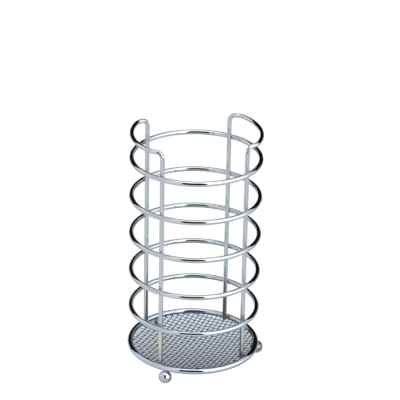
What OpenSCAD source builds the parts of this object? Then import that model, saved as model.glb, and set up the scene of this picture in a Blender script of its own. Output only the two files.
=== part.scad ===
// Wire utensil caddy: five hoops on two bent arches, a base ring with a woven
// wire floor, and three ball feet. Every piece is steel, welded where it touches.
// The origin is where the caddy's axis meets the table, with +Z up.

/* [Hoops] */
// Radius of the hoops, measured to the middle of their wire
hoop_r = 55; // [45:1:75]
// Thickness of the hoop wire
hoop_wire = 4.2; // [3:0.1:6]
// Number of hoops
hoop_count = 5; // [2:1:6]
// Distance from one hoop to the next
hoop_step = 35.2; // [25:0.1:45]
// Distance from the base ring up to the lowest hoop
first_hoop_rise = 36.2; // [20:0.1:45]

/* [Arches] */
// Thickness of the wire that each arch and its two uprights are bent from
arch_wire = 3.8; // [3:0.1:5]
// Angle between the middle of an arch and each of its uprights
upright_angle = 45; // [42:0.5:50]
// Distance round from an upright to the end of the arch's top curve
corner_run = 13; // [12:0.5:20]
// Distance from the highest hoop up to the arch tops
arch_rise = 22.3; // [16:0.1:40]
// Inner corner where the top curve turns in to an upright, to the middle of the wire
corner_bend_r = 10; // [6:0.5:11]
// Bend from level to upright, measured to the middle of the wire
top_bend_r = 6; // [4:0.25:6.5]

/* [Base ring and feet] */
// Thickness of the base ring's wire
base_wire = 4.9; // [4:0.1:7]
// Diameter of the ball feet
foot_d = 11.2; // [9:0.1:20]
// How far the ball feet stand outside the middle of the base ring
foot_overhang = 1.3; // [0:0.1:3]
// Direction of the first ball foot, counted from the front towards the right
foot_turn = -36; // [-60:1:60]

/* [Woven floor] */
// Thickness of the floor's wires
mesh_wire = 0.8; // [0.6:0.1:2]
// Distance between the floor's wires
mesh_pitch = 4.1; // [3.2:0.1:6]
// Direction of the warp wires, counted from the right towards the back
mesh_turn = 55; // [0:1:90]
// How deep the floor is pressed in, from its rim down to its middle
mesh_dish = 5.5; // [0:0.1:6]
// How far down the base ring's round side the floor's rim sits, as a share of half its wire
mesh_drop_share = 0.7; // [0.5:0.01:0.95]

/* [Hidden] */
// Gap that stands for the weld where two round wires touch
weld_gap = 0.05;
// Gap between the floor's wires where they cross
weave_gap = 0.05;
// Extra length that a cutting shape reaches past what it cuts
cut_over = 5;
// A bend draws its wire a little thinner, the tighter the more
top_curve_thinning = 0.02;
corner_thinning = 0.06;
top_bend_thinning = 0.08;
// Length of a bend's ends that lies inside the thicker wire it runs on from
bend_tuck = 0.2;
foot_count = 3;
round_fn = 96;
wire_fn = 32;

hoop_inner_r = hoop_r - hoop_wire / 2;
upright_r = hoop_inner_r - weld_gap - arch_wire / 2;
base_r = hoop_inner_r + base_wire / 2;

// Heights, from the table up
foot_reach = base_wire / 2 + weld_gap + foot_d / 2;
base_z = foot_d / 2 + sqrt(foot_reach * foot_reach - foot_overhang * foot_overhang);
mesh_z = base_z - mesh_drop_share * base_wire / 2;
mesh_top_z = mesh_z + mesh_wire + weave_gap / 2;
upright_foot_z = mesh_top_z + weld_gap;
arch_z = base_z + first_hoop_rise + (hoop_count - 1) * hoop_step + arch_rise;

// Outline of one arch seen from above, with the middle of the arch on +X.
// The straight lead starts over the upright and runs tangent into the inner corner,
// and the inner corner runs tangent into the top curve.
top_curve_angle = upright_angle - corner_run / hoop_r * 180 / PI;
upright_xy =upright_r * [cos(upright_angle), -sin(upright_angle)];
corner_xy = (hoop_r - corner_bend_r) * [cos(top_curve_angle), -sin(top_curve_angle)];
to_corner = corner_xy - upright_xy;
lead_dir = atan2(to_corner.y, to_corner.x) - asin(corner_bend_r / norm(to_corner));
lead_len = sqrt(to_corner * to_corner - corner_bend_r * corner_bend_r);
lead_start = upright_xy + top_bend_r * [cos(lead_dir), sin(lead_dir)];

// The floor's wires: height above and below the floor, and flat length at a crossing
crimp_rise = (mesh_wire + weave_gap) / 2;
crimp_flat = mesh_wire + 2 * weave_gap;
// The floor ends where the base ring's round side comes down to the top of the low turns.
// The outermost wires still pass inside the ring, so that only their ends are cut.
low_turn_drop = base_z - mesh_z + crimp_rise - mesh_wire / 2;
mesh_rim_r = base_r - sqrt(max(0, pow(base_wire / 2, 2) - pow(low_turn_drop, 2)));
mesh_reach = floor((hoop_inner_r - mesh_wire / 2) / mesh_pitch);

// A closed ring of round wire, lying level
module wire_ring(ring_r, wire) {
  rotate_extrude($fn = round_fn)
    translate([ring_r, 0])
      circle(d = wire, $fn = wire_fn);
}

// A level bend of round wire about the origin, between two directions.
// Both ends run on by the length of the tuck.
module wire_bend(bend_r, wire, from_dir, to_dir, tuck) {
  tuck_angle = tuck / bend_r * 180 / PI;
  rotate([0, 0, from_dir - tuck_angle])
    rotate_extrude(angle = to_dir - from_dir + 2 * tuck_angle, $fn = round_fn)
      translate([bend_r, 0])
        circle(d = wire, $fn = wire_fn);
}

module base_ring() {
  color("gainsboro")
    translate([0, 0, base_z])
      wire_ring(base_r, base_wire);
}

module hoop(k) {
  color("gainsboro")
    translate([0, 0, base_z + first_hoop_rise + (k - 1) * hoop_step])
      wire_ring(hoop_r, hoop_wire);
}

// One upright with its bend, lead and inner corner, as far as the top curve
module arch_side() {
  translate([upright_xy.x, upright_xy.y, upright_foot_z])
    cylinder(d = arch_wire, h = arch_z - top_bend_r - upright_foot_z, $fn = wire_fn);
  translate([lead_start.x, lead_start.y, arch_z - top_bend_r])
    rotate([90, 0, lead_dir])
      wire_bend(top_bend_r, arch_wire - top_bend_thinning, 90, 180, bend_tuck);
  translate([lead_start.x, lead_start.y, arch_z])
    rotate([90, 0, lead_dir + 90])
      cylinder(d = arch_wire, h = lead_len - top_bend_r, $fn = wire_fn);
  translate([corner_xy.x, corner_xy.y, arch_z])
    wire_bend(corner_bend_r, arch_wire - corner_thinning, lead_dir - 90, -top_curve_angle, bend_tuck);
}

module arch() {
  arch_side();
  mirror([0, 1, 0])
    arch_side();
  translate([0, 0, arch_z])
    wire_bend(hoop_r, arch_wire - top_curve_thinning, -top_curve_angle, top_curve_angle, 0);
}

module right_arch() {
  color("silver")
    arch();
}

module left_arch() {
  color("silver")
    rotate([0, 0, 180])
      arch();
}

// Middle line of one floor wire: over one crossing wire and under the next.
// phase is 1 where the wire with number 0 goes over at the middle, and -1 where it goes under.
function crimp_height(i, k, phase) = phase * (abs(i + k) % 2 == 0 ? 1 : -1) * crimp_rise;
// The dish at a crossing: zero at the rim, and deepest in the middle by the square of the distance
function dish_height(i, k) = mesh_dish * ((i * i + k * k) * pow(mesh_pitch / mesh_rim_r, 2) - 1);
function crimp_line(i, reach, phase) = [
  for (k = [-reach : reach], side = [-1, 1])
    [k * mesh_pitch + side * crimp_flat / 2, crimp_height(i, k, phase) + dish_height(i, k)]
];

// One floor wire, crimped in the upright plane and running along X
module floor_wire(i, phase) {
  half_chord = sqrt(mesh_rim_r * mesh_rim_r - pow(i * mesh_pitch, 2));
  middle = crimp_line(i, ceil(half_chord / mesh_pitch), phase);
  upper = [for (p = middle) p + [0, mesh_wire / 2]];
  lower = [for (j = [len(middle) - 1 : -1 : 0]) middle[j] - [0, mesh_wire / 2]];
  translate([0, i * mesh_pitch + mesh_wire / 2, 0])
    rotate([90, 0, 0])
      linear_extrude(height = mesh_wire)
        polygon(concat(upper, lower));
}

// The room that the base ring leaves for the floor: a disc, coped round the ring's wire
module floor_room() {
  rotate_extrude($fn = round_fn)
    difference() {
      translate([0, -mesh_dish - cut_over])
        square([mesh_rim_r, mesh_dish + 2 * cut_over]);
      translate([base_r, base_z - mesh_z])
        circle(d = base_wire + 2 * weld_gap, $fn = wire_fn);
    }
}

// One ball under the base ring, larger all round by the gap
module ball(k, gap) {
  dir = foot_turn + (k - 1) * 360 / foot_count;
  translate([(base_r + foot_overhang) * sin(dir), -(base_r + foot_overhang) * cos(dir), foot_d / 2])
    sphere(d = foot_d + 2 * gap, $fn = round_fn);
}

// All wires of one direction, cut to the base ring and clear of the ball feet
module floor_wires(turn, phase) {
  color("lightgray")
    difference() {
      translate([0, 0, mesh_z])
        rotate([0, 0, turn])
          intersection() {
            for (i = [-mesh_reach : mesh_reach])
              floor_wire(i, phase);
            floor_room();
          }
      for (k = [1 : foot_count])
        ball(k, weld_gap);
    }
}

module mesh_warp() {
  floor_wires(mesh_turn, 1);
}

module mesh_weft() {
  floor_wires(mesh_turn + 90, -1);
}

module ball_foot(k) {
  color("gainsboro")
    ball(k, 0);
}

base_ring();
for (k = [1 : hoop_count])
  hoop(k);
left_arch();
right_arch();
mesh_warp();
mesh_weft();
for (k = [1 : foot_count])
  ball_foot(k);
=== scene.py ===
# %% [markdown]
# # A wire utensil caddy
# The caddy is bent and welded from round steel wire and then chrome plated: five hoops, two
# arches that run down as four uprights, a thick base ring with a woven wire floor, and three
# ball feet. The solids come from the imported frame, which gives every place and size. This lesson
# adds the camera, the round woven wires, the welds, the plating and the studio.

# %% Load the frame
import bpy
import math
import numpy as np
from mathutils import Matrix, Vector


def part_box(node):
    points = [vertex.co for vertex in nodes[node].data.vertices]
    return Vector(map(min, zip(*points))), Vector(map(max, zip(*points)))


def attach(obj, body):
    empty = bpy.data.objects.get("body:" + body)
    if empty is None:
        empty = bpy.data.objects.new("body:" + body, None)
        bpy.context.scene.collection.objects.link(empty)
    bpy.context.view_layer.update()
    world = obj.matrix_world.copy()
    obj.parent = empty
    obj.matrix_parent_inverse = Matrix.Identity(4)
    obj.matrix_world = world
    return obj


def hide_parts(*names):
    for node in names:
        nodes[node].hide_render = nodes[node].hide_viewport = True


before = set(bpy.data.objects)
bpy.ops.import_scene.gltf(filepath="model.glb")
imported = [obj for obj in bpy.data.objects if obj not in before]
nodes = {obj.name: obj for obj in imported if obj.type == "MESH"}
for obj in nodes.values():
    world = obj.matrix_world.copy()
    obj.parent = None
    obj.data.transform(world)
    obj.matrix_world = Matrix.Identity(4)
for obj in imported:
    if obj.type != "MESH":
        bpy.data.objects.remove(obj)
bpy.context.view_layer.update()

MM = 0.001
UP = np.array([0, 0, 1.0])


def in_mm(values, digits=2):
    """Lengths in metres as rounded millimetres, to print."""
    return [round(value / MM, digits) for value in values]


print("nodes:", sorted(nodes))

# %% [markdown]
# ## Sizes, read from the solids
# A closed ring's box gives its wire (the box's height) and its radius (half the box's width,
# less half the wire). The feet and the floor are measured on their boxes too, so a piece added
# here sits where the solids say. Typing all the numbers in again would also work, but they would
# drift apart from the solids. Only what no box shows is typed: the arches' wire and the weave.

# %% Measure the rings and the feet
def ring_sizes(node_name):
    """A level ring's radius to the wire's middle, its wire's thickness and the wire's height, in metres."""
    low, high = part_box(node_name)
    wire = high.z - low.z
    return high.x - wire / 2, wire, (high.z + low.z) / 2


HOOP_NAMES = sorted(n for n in nodes if n.startswith("hoop_"))
HOOP_R, HOOP_WIRE, _ = ring_sizes(HOOP_NAMES[0])
HOOP_Z = [ring_sizes(n)[2] for n in HOOP_NAMES]
BASE_R, BASE_WIRE, BASE_Z = ring_sizes("base_ring")

FOOT_NAMES = sorted(n for n in nodes if n.startswith("ball_foot_"))
FOOT_CENTRES = [np.array((sum(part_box(n), Vector()) / 2)[:]) for n in FOOT_NAMES]
FOOT_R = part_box(FOOT_NAMES[0])[1].z / 2
print("hoops, mm:", in_mm((HOOP_R, HOOP_WIRE)), "at", in_mm(HOOP_Z, 1))
print("base ring, mm:", in_mm((BASE_R, BASE_WIRE, BASE_Z)), "feet:", in_mm((FOOT_R,)))

# %% Measure the arches and the floor
ARCH_WIRE = 3.8 * MM
UPRIGHT_R = HOOP_R - HOOP_WIRE / 2 - ARCH_WIRE / 2
UPRIGHT_ANGLE = 45
UPRIGHT_DIRS = [math.radians(UPRIGHT_ANGLE + 90 * k) for k in range(4)]

FLOOR_LOW, FLOOR_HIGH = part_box("mesh_warp")
FLOOR_WIRE = 0.8 * MM
FLOOR_PITCH = 4.1 * MM
FLOOR_TURN = math.radians(55)
FLOOR_GAP = 0.05 * MM
FLOOR_DROP_SHARE = 0.7
FLOOR_RISE = (FLOOR_WIRE + FLOOR_GAP) / 2
FLOOR_RIM_Z = BASE_Z - FLOOR_DROP_SHARE * BASE_WIRE / 2
FLOOR_RIM_R = FLOOR_HIGH.x
FLOOR_DISH = FLOOR_RIM_Z - FLOOR_RISE - FLOOR_WIRE / 2 - FLOOR_LOW.z
print("floor's rim, mm:", in_mm((FLOOR_RIM_R, FLOOR_RIM_Z)), "pressed in by", in_mm((FLOOR_DISH,)))

# %% [markdown]
# ## Camera
# A product camera stands well back with a long lens, so the hoops look almost alike in size.
# The direction, distance and lens were fitted to the rings' outlines. The camera first looks
# at the middle hoop's centre, and is then turned a little right, up and round, because the
# caddy doesn't stand in the middle of the picture. That needs no lens shift.

# %% Build the camera
PICTURE = 400
LENS_PX = 2102.2
MIDDLE_HOOP_PX = (195.65, 232.11)
SENSOR_WIDTH = 36
CAMERA_DISTANCE = 1.815
CAMERA_AZIMUTH = math.radians(-11.617)
CAMERA_ELEVATION = math.radians(25.895)
CAMERA_ROLL = math.radians(-1.105)


def turned(vector, axis, angle):
    """The vector turned about the axis by the right-hand rule."""
    return Matrix.Rotation(angle, 3, axis) @ vector


view_line = Vector((-math.sin(CAMERA_AZIMUTH) * math.cos(CAMERA_ELEVATION),
                    math.cos(CAMERA_AZIMUTH) * math.cos(CAMERA_ELEVATION),
                    -math.sin(CAMERA_ELEVATION)))
right = Vector((math.cos(CAMERA_AZIMUTH), math.sin(CAMERA_AZIMUTH), 0))
up = right.cross(view_line)
camera_place = Vector((0, 0, HOOP_Z[len(HOOP_Z) // 2])) - view_line * CAMERA_DISTANCE
pan, tilt = [math.atan((px - PICTURE / 2) / LENS_PX) for px in MIDDLE_HOOP_PX]
ahead, right = turned(view_line, up, pan), turned(right, up, pan)
ahead, up = turned(ahead, right, tilt), turned(up, right, tilt)
right, up = turned(right, ahead, CAMERA_ROLL), turned(up, ahead, CAMERA_ROLL)

camera_data = bpy.data.cameras.new("product_camera")
camera_data.sensor_width = SENSOR_WIDTH
camera_data.lens = LENS_PX * SENSOR_WIDTH / PICTURE
camera_data.clip_start, camera_data.clip_end = 0.05, 50
camera = bpy.data.objects.new("product_camera", camera_data)
facing = Matrix((right, up, -ahead)).transposed().to_4x4()
camera.matrix_world = Matrix.Translation(camera_place) @ facing
bpy.context.scene.collection.objects.link(camera)
bpy.context.scene.camera = camera
print("lens, mm:", round(camera_data.lens, 1), "camera at", [round(c, 3) for c in camera_place])

# %% [markdown]
# ## Surfaces from arrays
# Every new piece is a grid of points: rows that follow one another along a path, each row a
# ring of points round it. Numpy works out all the points at once, and one function turns the
# grids into a closed mesh whose faces point outwards. Blender's curve objects could draw the
# wires too, but the same grids also make the welds, the seams and the round tips.

# %% From grids of points to a mesh
def grids_to_mesh(name, grids):
    """Joins grids of shape (rows, points round, 3) into one mesh. Each grid is closed round its
    rows and gets a pole at both ends. Rows advance along the direction that the points go round
    by the right-hand rule."""
    verts, quads, tris, start = [], [], [], 0
    for grid in grids:
        rows, sides = grid.shape[:2]
        here = np.arange(sides)
        following = (here + 1) % sides
        row = start + sides * np.arange(rows - 1)[:, None]
        corners = (row + here, row + following, row + sides + following, row + sides + here)
        quads.append(np.stack(corners, -1).reshape(-1, 4))
        last_row = start + (rows - 1) * sides
        first_pole = start + rows * sides
        last_pole = first_pole + 1
        tris.append(np.stack([np.full(sides, first_pole), start + following, start + here], -1))
        tris.append(np.stack([np.full(sides, last_pole), last_row + here, last_row + following], -1))
        verts += [grid.reshape(-1, 3), grid[0].mean(0)[None], grid[-1].mean(0)[None]]
        start = last_pole + 1
    verts, quads, tris = np.concatenate(verts), np.concatenate(quads), np.concatenate(tris)
    corners = np.concatenate([quads.ravel(), tris.ravel()])
    face_starts = np.concatenate([4 * np.arange(len(quads)), quads.size + 3 * np.arange(len(tris))])
    mesh = bpy.data.meshes.new(name)
    mesh.vertices.add(len(verts))
    mesh.vertices.foreach_set("co", verts.astype(np.float32).ravel())
    mesh.loops.add(len(corners))
    mesh.loops.foreach_set("vertex_index", corners.astype(np.int32))
    mesh.polygons.add(len(face_starts))
    mesh.polygons.foreach_set("loop_start", face_starts.astype(np.int32))
    mesh.update(calc_edges=True)
    mesh.validate()
    mesh.shade_smooth()
    piece = bpy.data.objects.new(name, mesh)
    bpy.context.scene.collection.objects.link(piece)
    print(name, "points:", len(verts), "faces:", len(face_starts))
    return piece


# %% A round wire along a path
def tube(path, side, radius, sides):
    """A round wire along a flat path: at each point a circle in the plane of the side direction
    and of the path's own normal. The circle's size is the radius, one value for each point."""
    along = np.gradient(path, axis=0)
    along /= np.linalg.norm(along, axis=1, keepdims=True)
    side = np.broadcast_to(side, path.shape)
    other = np.cross(along, side)
    angle = (np.arange(sides) * 2 * np.pi / sides)[None, :, None]
    circle = np.cos(angle) * side[:, None] + np.sin(angle) * other[:, None]
    return path[:, None] + np.reshape(radius, (-1, 1, 1)) * circle


# %% [markdown]
# ## The woven floor
# The real floor is cloth woven from hard wire: each wire is crimped so that it goes over one
# crossing wire and under the next. Its rim is welded to the lower inside of the base ring, and
# its middle is pressed in by a few millimetres, so it is a shallow dish. The solids have square
# wires, which is exact enough to grip and weigh. Here each wire is round and follows a cosine,
# the path that a crimping roll gives. Both layers are one formula: only turn and phase differ.

# %% Where a floor wire ends, and its tips
END_STAND_SHARE = 0.30
RIM_STAND_SHARE = 0.2
TIP_REACH_SHARES = (0.2, 0.45)
TIP_SIZE_SHARES = (0.9, 0.62)


def floor_reach(z):
    """How far from the axis a floor wire's middle may run at a height: to where the base ring's
    round skin is a share of the wire's radius away, so that the wire's end bites in to the ring
    as in the weld, and never quite to the floor's rim."""
    room = (BASE_WIRE / 2 + END_STAND_SHARE * FLOOR_WIRE / 2) ** 2 - (z - BASE_Z) ** 2
    return np.minimum(BASE_R - np.sqrt(np.maximum(room, 0)), FLOOR_RIM_R - RIM_STAND_SHARE * FLOOR_WIRE)


def with_tip(path):
    """The path with points added past its last one, straight on, by shares of the wire's radius."""
    onward = (path[-1] - path[-2]) / np.linalg.norm(path[-1] - path[-2])
    return np.concatenate([path, [path[-1] + onward * FLOOR_WIRE / 2 * k for k in TIP_REACH_SHARES]])


def tip_radius(rows):
    """The wire's radius for each row, with its last two rows at both ends shrunk to a round tip."""
    radius = np.full(rows, FLOOR_WIRE / 2)
    radius[[1, -2]] *= TIP_SIZE_SHARES[0]
    radius[[0, -1]] *= TIP_SIZE_SHARES[1]
    return radius


print("a floor wire may run out to, mm:", in_mm(floor_reach(np.array([FLOOR_RIM_Z]))))


# %% Weave the wires
def woven_wires(turn, phase, sides=10, steps=8):
    """Grids of parallel crimped wires. A wire with number i runs at distance i times the pitch
    from the axis. Its height is the crimp times the cosine of pi times the run over the pitch,
    with the sign changed from wire to wire, on top of a dish that deepens with the square of the
    distance inwards from the rim. A wire ends at the base ring, or where a ball foot is."""
    across = np.array([-math.sin(turn), math.cos(turn), 0])
    run = np.array([math.cos(turn), math.sin(turn), 0])
    count = int((HOOP_R - HOOP_WIRE / 2 - FLOOR_WIRE / 2) / FLOOR_PITCH)
    middle = (count + 2) * steps
    s = np.arange(-middle, middle + 1) * FLOOR_PITCH / steps
    grids = []
    for i in range(-count, count + 1):
        dish = FLOOR_DISH * ((s ** 2 + (i * FLOOR_PITCH) ** 2) / FLOOR_RIM_R ** 2 - 1)
        crimp = phase * (-1) ** i * FLOOR_RISE * np.cos(np.pi * s / FLOOR_PITCH)
        z = FLOOR_RIM_Z + dish + crimp
        path = i * FLOOR_PITCH * across + s[:, None] * run + z[:, None] * UP
        free = np.hypot(path[:, 0], path[:, 1]) < floor_reach(z)
        for foot in FOOT_CENTRES:
            free &= np.linalg.norm(path - foot, axis=1) > FOOT_R + FLOOR_WIRE / 2
        first = middle - np.argmin(free[middle::-1]) + 1
        last = middle + np.argmin(free[middle:]) - 1
        path = with_tip(path[first:last + 1])
        path = with_tip(path[::-1])[::-1]
        grids.append(tube(path, across, tip_radius(len(path)), sides))
    return grids


warp_wires = grids_to_mesh("woven_warp", woven_wires(FLOOR_TURN, 1))
weft_wires = grids_to_mesh("woven_weft", woven_wires(FLOOR_TURN + math.pi / 2, -1))

# %% [markdown]
# ## Welds
# Crossed wires are welded by pressing them together and passing a current through them. The
# metal softens and squeezes out in a small bead round the touch, which the plating covers. A
# bead could be a scaled sphere, but a real one is never quite round, so this one is a flattened
# ball from a formula, with a slightly uneven rim that differs from bead to bead.

# %% Make the beads between hoops and uprights
HOOP_BEAD = np.array([1.25, 0.75, 1.15]) * MM
RING_BEAD = np.array([1.5, 0.9, 1.5]) * MM
TOUCH_R = UPRIGHT_R + ARCH_WIRE / 2


def around(radius, direction, z):
    """The point at a radius and direction from the caddy's axis, at a height."""
    return np.array([radius * math.cos(direction), radius * math.sin(direction), z])


def bead(centre, outward, half_size, seed, sides=14, rows=9):
    """A flattened ball at a touch. Its half sizes are across, outward and upward. Its radius swells
    and shrinks round the rim by 5 % three times to a turn and by 4 % five times to a turn. The
    seed shifts both waves, so that no two beads are alike."""
    side = np.cross(UP, outward)
    lat = np.linspace(-np.pi / 2, np.pi / 2, rows + 2)[1:-1, None]
    lon = (np.arange(sides) * 2 * np.pi / sides)[None]
    uneven = 1 + 0.05 * np.sin(3 * lon + seed) + 0.04 * np.sin(5 * lon + 2.3 * seed)
    x, y = np.cos(lat) * np.cos(lon) * uneven, np.cos(lat) * np.sin(lon) * uneven
    z = np.sin(lat) + 0 * lon
    return (centre + half_size[0] * x[..., None] * side - half_size[2] * y[..., None] * UP
            - half_size[1] * z[..., None] * outward)


hoop_beads = [bead(around(TOUCH_R, d, z), around(1, d, 0), HOOP_BEAD, seed=9 * d + 70 * z)
              for d in UPRIGHT_DIRS for z in HOOP_Z]
ring_beads = [bead(around(TOUCH_R, d, BASE_Z), around(1, d, 0), RING_BEAD, seed=5 * d)
              for d in UPRIGHT_DIRS]
hoop_welds = grids_to_mesh("hoop_welds", hoop_beads)
ring_welds = grids_to_mesh("ring_welds", ring_beads)

# %% [markdown]
# Each ball foot is welded under the base ring, with a small waist of metal between ball and
# wire. The waist is a lathe shape: its radius is smallest half way and widens to both ends. A
# plain cylinder would be quicker, but would show a hard edge where it meets the ball.

# %% Make the waists of the feet
WAIST_SINK = 0.55 * MM


def waist(bottom, top, narrow=1.35 * MM, wide=2.0 * MM, sides=20, rows=9):
    """A lathe shape between two points. Its radius is narrow at the middle and grows with the
    square of the distance from it."""
    axis = (top - bottom) / np.linalg.norm(top - bottom)
    side = np.cross(axis, UP)
    side /= np.linalg.norm(side)
    t = np.linspace(0, 1, rows)
    radius = narrow + (wide - narrow) * (2 * t - 1) ** 2
    path = bottom + t[:, None] * (top - bottom)
    return tube(path, side, radius, sides)


foot_grids = []
for centre in FOOT_CENTRES:
    outward = centre * [1, 1, 0] / np.linalg.norm(centre[:2])
    ring_middle = outward * BASE_R + UP * BASE_Z
    way = (ring_middle - centre) / np.linalg.norm(ring_middle - centre)
    in_ball = centre + way * (FOOT_R - WAIST_SINK)
    in_ring = ring_middle - way * (BASE_WIRE / 2 - WAIST_SINK)
    foot_grids.append(waist(in_ball, in_ring))
foot_welds = grids_to_mesh("foot_welds", foot_grids)

# %% [markdown]
# A hoop is one straight wire rolled round and welded end to end. The seam is ground down before
# plating and stays as a low, short swelling of the wire. All the seams sit together at the back
# right, because the hoops are stacked the same way round for the welding jig. A bump in the
# plating could fake a seam, but a thin sleeve also shows in the wire's outline.

# %% Make the seams of the hoops
SEAM_DIR = math.radians(58)
HOOP_SEAM_STEP = 0.02
BASE_SEAM_STEP = -0.05


def seam(radius, wire, z, direction, length=1.4 * MM, swell=0.20 * MM, sunk=0.02 * MM,
         rows=11, sides=24):
    """A sleeve round the hoop's wire. It stands proud by the swell times a half wave, less what it
    is sunk, so that it fades out at both ends."""
    s = np.linspace(-0.5, 0.5, rows)
    angle = direction + s * length / radius
    path = np.stack([radius * np.cos(angle), radius * np.sin(angle), np.full(rows, z)], -1)
    return tube(path, UP, wire / 2 - sunk + swell * np.cos(np.pi * s), sides)


seam_grids = [seam(HOOP_R, HOOP_WIRE, z, SEAM_DIR + HOOP_SEAM_STEP * k) for k, z in enumerate(HOOP_Z)]
seam_grids.append(seam(BASE_R, BASE_WIRE, BASE_Z, SEAM_DIR + BASE_SEAM_STEP))
hoop_seams = grids_to_mesh("hoop_seams", seam_grids)

# %% [markdown]
# ## Plating
# Bright chrome is a mirror with a slight blue cast. A perfect mirror would look drawn, so the
# plating follows the wire's skin: broad, shallow waves from the bending, fine lines from the
# drawing die, thin hazy patches where fingers and the bath left their mark. All of it reads
# Object coordinates, so it is fixed to the metal. First come a few helpers, since every finish
# is a small tree of nodes.

# %% Helpers that add nodes
MIX_SHARE, MIX_FIRST, MIX_SECOND, MIX_RESULT = 0, 6, 7, 2
WHITE = (1, 1, 1, 1)


def node(tree, kind, inputs=None, **settings):
    """Adds a node, sets its properties, and fills its sockets with values or links."""
    made = tree.nodes.new(kind)
    for key, value in settings.items():
        setattr(made, key, value)
    for key, value in (inputs or {}).items():
        if isinstance(value, bpy.types.NodeSocket):
            tree.links.new(value, made.inputs[key])
        else:
            made.inputs[key].default_value = value
    return made


def maths(tree, operation, first, second):
    """One step of arithmetic on two values."""
    return node(tree, "ShaderNodeMath", {0: first, 1: second}, operation=operation).outputs["Value"]


def measured(tree, operation, first, second):
    """A number from two places: their DISTANCE or their DOT_PRODUCT."""
    return node(tree, "ShaderNodeVectorMath", {0: first, 1: second}, operation=operation).outputs["Value"]


def noise(tree, place, scale, detail, rough=0.55):
    """Fractal noise of a size: the scale is in waves per metre."""
    sockets = {"Vector": place, "Scale": scale, "Detail": detail, "Roughness": rough}
    return node(tree, "ShaderNodeTexNoise", sockets).outputs["Fac"]


def spread(tree, value, low, high, to_low, to_high):
    """Maps a value from one range to another, held at the ends."""
    sockets = {"Value": value, "From Min": low, "From Max": high, "To Min": to_low, "To Max": to_high}
    return node(tree, "ShaderNodeMapRange", sockets).outputs["Result"]


def blended(tree, share, first, second):
    """A colour between two colours."""
    sockets = {MIX_SHARE: share, MIX_FIRST: first, MIX_SECOND: second}
    return node(tree, "ShaderNodeMix", sockets, data_type="RGBA").outputs[MIX_RESULT]


def bumped(tree, height, strength, distance):
    """The surface's normal, tipped by a height."""
    sockets = {"Height": height, "Strength": strength, "Distance": distance}
    return node(tree, "ShaderNodeBump", sockets).outputs["Normal"]


def new_metal(name):
    """A bare metal: the material, its tree, its shader, and the place on the metal to paint by."""
    material = bpy.data.materials.new(name)
    material.use_nodes = True
    shader = material.node_tree.nodes["Principled BSDF"]
    shader.inputs["Metallic"].default_value = 1.0
    place = node(material.node_tree, "ShaderNodeTexCoord").outputs["Object"]
    return material, material.node_tree, shader, place


# %% Bright chrome, with heat marks, painted reflections and painted shade where asked
HAZE_SCALE, GRAIN_SCALE, BEND_SCALE = 55.0, 900.0, 130.0
HAZE_CLEAR, HAZE_FULL, HAZE_SHARE = 0.45, 0.75, 0.6
SMOOTH_BELOW = 0.35
GRAIN_HEIGHT_SHARE = 0.06
SKIN_DEPTH = 0.4 * MM
MARK_CORE_SHARE = 0.25


def marked(tree, place, colour, marks):
    """Adds marks, each a (spot, size, tint, strength), for heat marks, painted reflections and painted
    shade alike: the tint is full in the mark's core and fades from there to nothing at its size."""
    for spot, size, tint, strength in marks:
        far = measured(tree, "DISTANCE", place, Vector(spot))
        share = spread(tree, far, size * MARK_CORE_SHARE, size, strength, 0.0)
        colour = blended(tree, share, colour, tint)
    return colour


def chrome(name, light=(0.56, 0.625, 0.665, 1), dull=(0.47, 0.53, 0.575, 1), rough=(0.01, 0.06),
           wave=0.06, marks=()):
    """Bright chrome plating: light where it is clean, and dull and rougher where it is hazy."""
    material, tree, shader, place = new_metal(name)
    haze = noise(tree, place, HAZE_SCALE, detail=4.0)
    dullness = spread(tree, haze, HAZE_CLEAR, HAZE_FULL, 0.0, HAZE_SHARE)
    colour = marked(tree, place, blended(tree, dullness, light, dull), marks)
    tree.links.new(colour, shader.inputs["Base Color"])
    tree.links.new(spread(tree, haze, SMOOTH_BELOW, HAZE_FULL, *rough), shader.inputs["Roughness"])
    grain = noise(tree, place, GRAIN_SCALE, detail=2.0)
    lines = spread(tree, grain, 0.0, 1.0, 0.0, GRAIN_HEIGHT_SHARE)
    waves = maths(tree, "ADD", noise(tree, place, BEND_SCALE, detail=2.0), lines)
    tree.links.new(bumped(tree, waves, wave, SKIN_DEPTH), shader.inputs["Normal"])
    return material


# %% [markdown]
# Where a wire was welded the heat leaves a small straw to brown spot, which the thin plating
# doesn't hide. The marks that show are on the uprights at their foot and by the lowest hoop, on
# the two lowest hoops beside the rear right upright, and at the floor's right rim. Other spots
# are painted light and shade: a painted warm reflection on the front left upright between its
# foot and the lowest hoop, a painted olive reflection that darkens the lower part of the rear
# right upright where it mirrors the dark woven floor in front of it, and a grey painted shade on
# the ball foot under the floor's right rim, which dims the lamp's reflection there and has a
# darker spot at its middle. A mark could be a painted picture, but a spot with a size keeps its
# place on the metal at any camera.

# %% Make the chromes
BROWN = (0.16, 0.09, 0.05, 1)
STRAW = (0.50, 0.42, 0.24, 1)
PAINTED_OLIVE_REFLECTION = (0.46, 0.45, 0.34, 1)
PAINTED_WARM_REFLECTION = (0.79, 0.70, 0.53, 1)
PAINTED_SHADE_GREY = (0.22, 0.24, 0.27, 1)
DARK = (0.10, 0.10, 0.11, 1)


def metal_spot(degrees, z, radius=UPRIGHT_R / MM):
    """A point on the metal, in millimetres: its direction is counted from the right to the back."""
    return tuple(around(radius * MM, math.radians(degrees), z * MM))


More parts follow.
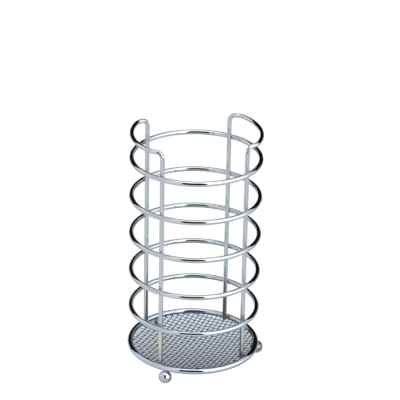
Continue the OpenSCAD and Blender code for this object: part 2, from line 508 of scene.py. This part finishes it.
# each mark is its spot on the metal, its size, its tint and how strong it is
arch_marks_and_reflections = (
    # painted reflection: a warm cream stretch on the front left upright between its foot and the lowest
    # hoop
    (metal_spot(-134, 39.0), 9.0 * MM, PAINTED_WARM_REFLECTION, 0.6),
    (metal_spot(-134, 32.0), 8.0 * MM, PAINTED_WARM_REFLECTION, 0.6),
    (metal_spot(-135, 51.0), 4.2 * MM, STRAW, 0.9),
    (metal_spot(-135, 15.5), 4.2 * MM, STRAW, 0.9),
    (metal_spot(-45, 53.0), 4.4 * MM, BROWN, 0.8),
    (metal_spot(-45, 17.0), 4.6 * MM, BROWN, 0.9),
    # painted reflection: the rear right upright's lower part is darkened olive where it mirrors the dark
    # woven floor in front of it
    (metal_spot(45, 26.0), 30.0 * MM, PAINTED_OLIVE_REFLECTION, 0.9),
)
ring_marks = (
    (metal_spot(42, 15.5, 53), 2.4 * MM, BROWN, 1.0),
    (metal_spot(-45, 14.5, 52.5), 3.4 * MM, BROWN, 0.8),
    (metal_spot(-135, 14.5, 52.5), 3.4 * MM, STRAW, 0.7),
)
hoop_marks = [(metal_spot(42, z / MM - 0.4, 53.1), 1.9 * MM, BROWN, 0.9) for z in HOOP_Z[:2]]
# painted shade: a grey patch on the ball foot dims the lamp's reflection there, with a darker spot at its
# middle
BALL_SPOT = metal_spot(-9, 9.8, 58.8)
ball_painted_shade = ((BALL_SPOT, 8.0 * MM, PAINTED_SHADE_GREY, 0.85), (BALL_SPOT, 2.6 * MM, DARK, 0.7))

hoop_chrome = chrome("hoop_chrome", marks=hoop_marks)
ring_chrome = chrome("ring_chrome", light=(0.56, 0.625, 0.72, 1), dull=(0.47, 0.53, 0.62, 1),
                     marks=ring_marks)
arch_chrome = chrome("arch_chrome", marks=arch_marks_and_reflections)
ball_chrome = chrome("ball_chrome", light=(0.60, 0.66, 0.76, 1), dull=(0.50, 0.56, 0.66, 1),
                     rough=(0.01, 0.04), wave=0.03, marks=ball_painted_shade)
weld_chrome = chrome("weld_chrome", light=(0.50, 0.50, 0.48, 1), dull=(0.30, 0.26, 0.21, 1),
                     rough=(0.16, 0.36), wave=0.5)
print("chromes:", [m.name for m in bpy.data.materials if m.name.endswith("_chrome")])

# %% [markdown]
# The floor's wires come out hazy and less bright than the hoops. Their colour is painted light on
# their crowns and darker below, a painted shade low in the weave where less light reaches. One
# colour for both layers would be simpler, but the warp's colours are painted almost black, a
# painted reflection of the shade under the caddy, so each layer has its own two colours.

# %% Make the floor wire's metals
FLOOR_HAZE = (0.26, 0.28, 0.31, 1)
FLOOR_HAZE_SCALE, FLOOR_GRAIN_SCALE = 220.0, 1500.0
FLOOR_HAZE_CLEAR, FLOOR_HAZE_FULL, FLOOR_HAZE_SHARE = 0.5, 0.8, 0.4
FLOOR_SMOOTH_BELOW = 0.3
FLOOR_ROUGH = (0.24, 0.4)
FLOOR_SKIN_WAVE, FLOOR_SKIN_DEPTH = 0.25, 0.1 * MM
CROWN_SHARE, VALLEY_SHARE = 0.2, 0.3
floor_marks = ((metal_spot(-7.6, FLOOR_RIM_Z / MM, 52.0), 8.0 * MM, BROWN, 1.0),)


def floor_steel(name, low, high):
    """Plated floor wire. Its colour runs from low to high with the height above the dish, which is
    a straight line in the square of the distance from the axis: painted shade low in the weave and
    painted light on the crowns."""
    material, tree, shader, place = new_metal(name)
    height = node(tree, "ShaderNodeSeparateXYZ", {0: place}).outputs["Z"]
    flattened = node(tree, "ShaderNodeVectorMath", {0: place, 1: (1, 1, 0)}, operation="MULTIPLY")
    level = flattened.outputs["Vector"]
    square = measured(tree, "DOT_PRODUCT", level, level)
    dish = spread(tree, square, 0.0, FLOOR_RIM_R ** 2, FLOOR_RIM_Z - FLOOR_DISH, FLOOR_RIM_Z)
    above = maths(tree, "SUBTRACT", height, dish)
    crown = FLOOR_RISE + CROWN_SHARE * FLOOR_WIRE
    valley = -FLOOR_RISE - VALLEY_SHARE * FLOOR_WIRE
    # painted shade and light: the wire is darker low in the weave and lighter on its crowns
    colour = blended(tree, spread(tree, above, valley, crown, 0.0, 1.0), low, high)
    haze = noise(tree, place, FLOOR_HAZE_SCALE, detail=3.0)
    dullness = spread(tree, haze, FLOOR_HAZE_CLEAR, FLOOR_HAZE_FULL, 0.0, FLOOR_HAZE_SHARE)
    colour = marked(tree, place, blended(tree, dullness, colour, FLOOR_HAZE), floor_marks)
    rough = spread(tree, haze, FLOOR_SMOOTH_BELOW, FLOOR_HAZE_FULL, *FLOOR_ROUGH)
    grain = noise(tree, place, FLOOR_GRAIN_SCALE, detail=2.0)
    tree.links.new(colour, shader.inputs["Base Color"])
    tree.links.new(rough, shader.inputs["Roughness"])
    tree.links.new(bumped(tree, grain, FLOOR_SKIN_WAVE, FLOOR_SKIN_DEPTH), shader.inputs["Normal"])
    return material


# the warp's near-black colours are a painted reflection of the shade under the caddy
warp_metal = floor_steel("warp_metal", (0.02, 0.025, 0.035, 1), (0.06, 0.068, 0.09, 1))
weft_metal = floor_steel("weft_metal", (0.04, 0.05, 0.06, 1), (0.42, 0.46, 0.53, 1))
print("floor metals:", warp_metal.name, weft_metal.name)

# %% [markdown]
# A node of the solids already has material slots, so its finish goes into these. A new piece
# has none yet, and gets its first. The seams are ground and plated with their hoops, so they
# share the hoops' chrome, while the rough weld metal under the plating has its own.

# %% Put the metals on the pieces
def finish_with(piece, material):
    """Puts one material on a piece, or in a CAD node's slots."""
    if piece.material_slots:
        for entry in piece.material_slots:
            entry.material = material
    else:
        piece.data.materials.append(material)


finishes = (
    (hoop_chrome, [nodes[n] for n in HOOP_NAMES] + [hoop_seams]),
    (ring_chrome, [nodes["base_ring"]]),
    (arch_chrome, [nodes["left_arch"], nodes["right_arch"]]),
    (ball_chrome, [nodes[n] for n in FOOT_NAMES]),
    (warp_metal, [warp_wires]),
    (weft_metal, [weft_wires]),
    (weld_chrome, [hoop_welds, ring_welds, foot_welds]),
)
for metal, pieces in finishes:
    for piece in pieces:
        finish_with(piece, metal)
    print(metal.name, "on", [piece.name for piece in pieces])

# %% [markdown]
# ## Studio
# Chrome shows its surroundings, so the studio is the finish. The caddy stands on a white table in
# a white room, and cards and sheets round it are seen by the metal only.
#
# The table is shaded under the caddy. The camera looks through the woven floor at this shade,
# which makes the floor read as grey. The lamp alone would give some shade, but how deep it is
# would depend on the lamp's size, so the table's own glow is turned down there as well. The
# key lamp stands where the camera does, so the shade lies a little behind the caddy's middle.
# Mirrors see a greyer table, darkest round the base ring where little light gets in.

# %% Helpers for the studio
def empty_tree(owner):
    """A material's or world's tree of nodes, with nothing in it."""
    owner.use_nodes = True
    owner.node_tree.nodes.clear()
    return owner.node_tree


def seen_rays(tree):
    """1 for rays from the camera or from a mirror or glass, and 0 for rays that only carry light."""
    path = node(tree, "ShaderNodeLightPath")
    two = maths(tree, "MAXIMUM", path.outputs["Is Camera Ray"], path.outputs["Is Glossy Ray"])
    return maths(tree, "MAXIMUM", two, path.outputs["Is Transmission Ray"])


# %% The white table with the shade under the caddy
TABLE_HALF = 4
TABLE_COLOUR = (0.8, 0.8, 0.8, 1)
OPEN_GLOW, OPEN_SHARE = 1.04, 0.94
SHADE_TINT = (0.84, 0.95, 1.06, 1)
SHADE_BACK, SHADE_CORE, SHADE_EDGE = 25 * MM, 51 * MM, 58 * MM
SHADE_NEAR, SHADE_FAR = -35 * MM, 75 * MM
SHADE_NEAR_SHARE, SHADE_FAR_SHARE = 0.27, 0.64
RING_SHADE_CORE, RING_SHADE_EDGE = 57 * MM, 130 * MM
RING_SHADE_FLOOR, RING_SHADE_POWER = 0.0002, 0.15
MIRRORED_GLOW = 0.86

corners = [(x * TABLE_HALF, y * TABLE_HALF, 0) for x, y in ((-1, -1), (1, -1), (1, 1), (-1, 1))]
table_mesh = bpy.data.meshes.new("table_top")
table_mesh.from_pydata(corners, [], [(0, 1, 2, 3)])
table_top = bpy.data.objects.new("table_top", table_mesh)
bpy.context.scene.collection.objects.link(table_top)

table_white = bpy.data.materials.new("table_white")
tree = empty_tree(table_white)
plain = node(tree, "ShaderNodeBsdfDiffuse", {"Color": TABLE_COLOUR}).outputs[0]
place = node(tree, "ShaderNodeTexCoord").outputs["Object"]
behind = Vector((-math.sin(CAMERA_AZIMUTH), math.cos(CAMERA_AZIMUTH), 0))
from_shade = measured(tree, "DISTANCE", place, behind * SHADE_BACK)
depth = measured(tree, "DOT_PRODUCT", place, behind)
shade = spread(tree, depth, SHADE_NEAR, SHADE_FAR, SHADE_NEAR_SHARE, SHADE_FAR_SHARE)
open_floor = spread(tree, from_shade, SHADE_CORE, SHADE_EDGE, shade, OPEN_SHARE)
tint = blended(tree, spread(tree, from_shade, SHADE_CORE, SHADE_EDGE, 0.0, 1.0), SHADE_TINT, WHITE)
from_axis = measured(tree, "DISTANCE", place, (0, 0, 0))
away = spread(tree, from_axis, RING_SHADE_CORE, RING_SHADE_EDGE, RING_SHADE_FLOOR, 1.0)
mirror_glow = maths(tree, "MULTIPLY", maths(tree, "POWER", away, RING_SHADE_POWER), MIRRORED_GLOW)
mirrored = node(tree, "ShaderNodeLightPath").outputs["Is Glossy Ray"]
glow_strength = spread(tree, mirrored, 0.0, 1.0, OPEN_GLOW, mirror_glow)
glow = node(tree, "ShaderNodeEmission", {"Color": tint, "Strength": glow_strength}).outputs[0]
glow_share = maths(tree, "MULTIPLY", seen_rays(tree), spread(tree, mirrored, 0.0, 1.0, open_floor, 1.0))
surface = node(tree, "ShaderNodeMixShader", {0: glow_share, 1: plain, 2: glow}).outputs[0]
node(tree, "ShaderNodeOutputMaterial", {"Surface": surface})
table_mesh.materials.append(table_white)
print("table:", table_top.name, "with", len(tree.nodes), "nodes")

# %% [markdown]
# The room is plain white. Walls could be modelled, but the world does the same with no corners
# in the mirrors. It is seen at full white and lights the table by only a third as much, so that
# the lamp still gives the caddy a shadow.

# %% The white room
ROOM_LIGHT = 0.35

world = bpy.data.worlds.new("white_room")
bpy.context.scene.world = world
tree = empty_tree(world)
room_strength = spread(tree, seen_rays(tree), 0.0, 1.0, ROOM_LIGHT, 1.0)
sky = node(tree, "ShaderNodeBackground", {"Color": WHITE, "Strength": room_strength}).outputs[0]
node(tree, "ShaderNodeOutputWorld", {"Surface": sky})
print("world:", world.name)

# %% [markdown]
# Cards stand round the caddy, and the chrome alone sees them.
# - A black cloth behind, a third of the way round, gives the dark bands at the left and right
#   of every hoop. It stops at both sides and on the table, so a band's front end slips off along
#   the inner edge of the wire.
# - The dark slot between the lamps, where the camera stands, gives the thin black line along
#   the front and the black spot in the ball feet.
# - A big soft lamp to the front right gives the white highlights, and one overhead the lines on
#   top of the wires.
# - A grey wall to the left, and a small dark corner beside the slot, are the parts of the room
#   that get less light.
#
# Real lamps could do this too, but a glowing mesh has just the outline that its mirror image
# in a thin wire needs.

# %% Stand the cards round the caddy
BLACK = 0.01
LAMP = 1.9
CARD_COLUMNS, CARD_ROWS = 24, 12


def lit_screen(name, mesh, brightness):
    """Puts a glowing mesh in the studio that only mirrors see."""
    screen = bpy.data.objects.new(name, mesh)
    bpy.context.scene.collection.objects.link(screen)
    material = bpy.data.materials.new(name)
    tree = empty_tree(material)
    light = node(tree, "ShaderNodeEmission", {"Color": WHITE, "Strength": brightness}).outputs[0]
    node(tree, "ShaderNodeOutputMaterial", {"Surface": light})
    mesh.materials.append(material)
    screen.visible_camera = screen.visible_diffuse = False
    screen.visible_shadow = screen.visible_transmission = False
    print(name, "brightness:", brightness)


def card(name, middle, half_width, low, high, radius, brightness, pointed=0.0):
    """A curved screen round the caddy. Its direction is counted in degrees from straight behind the
    caddy towards the camera's right, and its low and high edges are heights in degrees above the
    table. The high edge of a pointed one falls to both sides with the square of the distance from
    its middle."""
    t = np.linspace(-1, 1, CARD_COLUMNS + 1)
    lon = np.radians(middle + half_width * t)[:, None] - CAMERA_AZIMUTH + np.zeros(CARD_ROWS + 1)
    reach = (high - low) * (1 - pointed * t ** 2)
    lat = np.radians(low + reach[:, None] * np.linspace(0, 1, CARD_ROWS + 1))
    points = radius * np.stack([np.sin(lon) * np.cos(lat), np.cos(lon) * np.cos(lat), np.sin(lat)], -1)
    i, j = np.meshgrid(np.arange(CARD_COLUMNS), np.arange(CARD_ROWS), indexing="ij")
    here, beside = i * (CARD_ROWS + 1) + j, (i + 1) * (CARD_ROWS + 1) + j
    faces = np.stack([here, beside, beside + 1, here + 1], -1).reshape(-1, 4)
    mesh = bpy.data.meshes.new(name)
    mesh.from_pydata(points.reshape(-1, 3).tolist(), [], faces.tolist())
    lit_screen(name, mesh, brightness)


card("cloth_behind", middle=3, half_width=60, low=0.2, high=50, radius=2.6, brightness=BLACK, pointed=0.4)
card("grey_wall_left", middle=-106, half_width=22, low=0.2, high=55, radius=2.5, brightness=0.78)
card("slot_between_lamps", middle=182, half_width=21, low=0.2, high=68, radius=2.2, brightness=BLACK,
     pointed=0.1)
card("slot_corner", middle=206, half_width=9, low=44, high=66, radius=2.2, brightness=0.05, pointed=0.9)
card("soft_lamp_right", middle=124, half_width=38, low=2, high=72, radius=2.4, brightness=LAMP)
card("soft_lamp_top", middle=180, half_width=180, low=71, high=89.9, radius=2.3, brightness=LAMP)

# %% [markdown]
# A wire also mirrors the table on its lower half. Grey sheets on the table to the sides and
# behind give the uprights their soft grey edges, a dark one in front runs on from the dark slot,
# and a light one right behind keeps the hoops' lower edges light. The table's own colour could
# be painted instead, but the camera would see that, while it doesn't see the sheets.

# %% Lay the sheets on the table
SHEET_Z = 1 * MM


def sheet(name, middle, half_width, near, far, brightness):
    """A flat sheet just above the table. It is a sector between two distances, in metres, from the
    caddy's axis, with its direction counted like a card's."""
    span = np.linspace(middle - half_width, middle + half_width, CARD_COLUMNS + 1)
    lon = np.radians(span) - CAMERA_AZIMUTH
    level = np.full(CARD_COLUMNS + 1, SHEET_Z)
    points = np.stack([np.stack([r * np.sin(lon), r * np.cos(lon), level], -1) for r in (near, far)])
    i = np.arange(CARD_COLUMNS)
    across = i + CARD_COLUMNS + 1
    mesh = bpy.data.meshes.new(name)
    faces = np.stack([i, i + 1, across + 1, across], -1)
    mesh.from_pydata(points.reshape(-1, 3).tolist(), [], faces.tolist())
    lit_screen(name, mesh, brightness)


sheet("dark_sheet_front", middle=181, half_width=17, near=0.9, far=2.1, brightness=BLACK)
sheet("shade_right", middle=85, half_width=50, near=0.06, far=0.10, brightness=0.42)
sheet("grey_sheet_front", middle=200, half_width=40, near=0.10, far=0.49, brightness=0.88)
sheet("grey_sheet_right", middle=120, half_width=40, near=0.10, far=0.49, brightness=0.8)
sheet("grey_sheet_left", middle=-54, half_width=25, near=0.12, far=2.5, brightness=0.6)
sheet("grey_sheet_behind", middle=53, half_width=25, near=0.12, far=2.5, brightness=0.6)
sheet("lit_sheet_behind", middle=0, half_width=27, near=0.12, far=2.5, brightness=1.1)

# %% [markdown]
# One round lamp lights the table from the camera's side, which leaves a soft shadow under the
# caddy. It is hidden from the mirrors, because the cards already say what the chrome shows.

# %% The lamp that lights the table
KEY_SIZE = 0.5
KEY_POWER = 60
KEY_DISTANCE = 2.2
KEY_AIM = Vector((0, 0, 50 * MM))

key_data = bpy.data.lights.new("key_lamp", "AREA")
key_data.shape = "DISK"
key_data.size = KEY_SIZE
key_data.energy = KEY_POWER
key = bpy.data.objects.new("key_lamp", key_data)
key.location = KEY_AIM - view_line * KEY_DISTANCE
key.rotation_mode = "QUATERNION"
key.rotation_quaternion = view_line.to_track_quat("-Z", "Y")
key.visible_glossy = False
key.visible_camera = False
bpy.context.scene.collection.objects.link(key)
print("lamp:", key.name, "at", [round(c, 3) for c in key.location])

# %% [markdown]
# ## Colour view
# The picture is shown as it is lit, with no film curve, so a colour on the page is the colour
# that was written.

# %% Set the view
bpy.context.scene.view_settings.view_transform = "Standard"
print("view:", bpy.context.scene.view_settings.view_transform)

# %% [markdown]
# ## Tie the pieces to the frame
# The caddy has no moving parts, so every piece rides on its one body. The woven wires stand for
# the two square-wired nodes.

for piece in (warp_wires, weft_wires, hoop_welds, ring_welds, foot_welds, hoop_seams):
    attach(piece, "root")
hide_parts("mesh_warp")
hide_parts("mesh_weft")
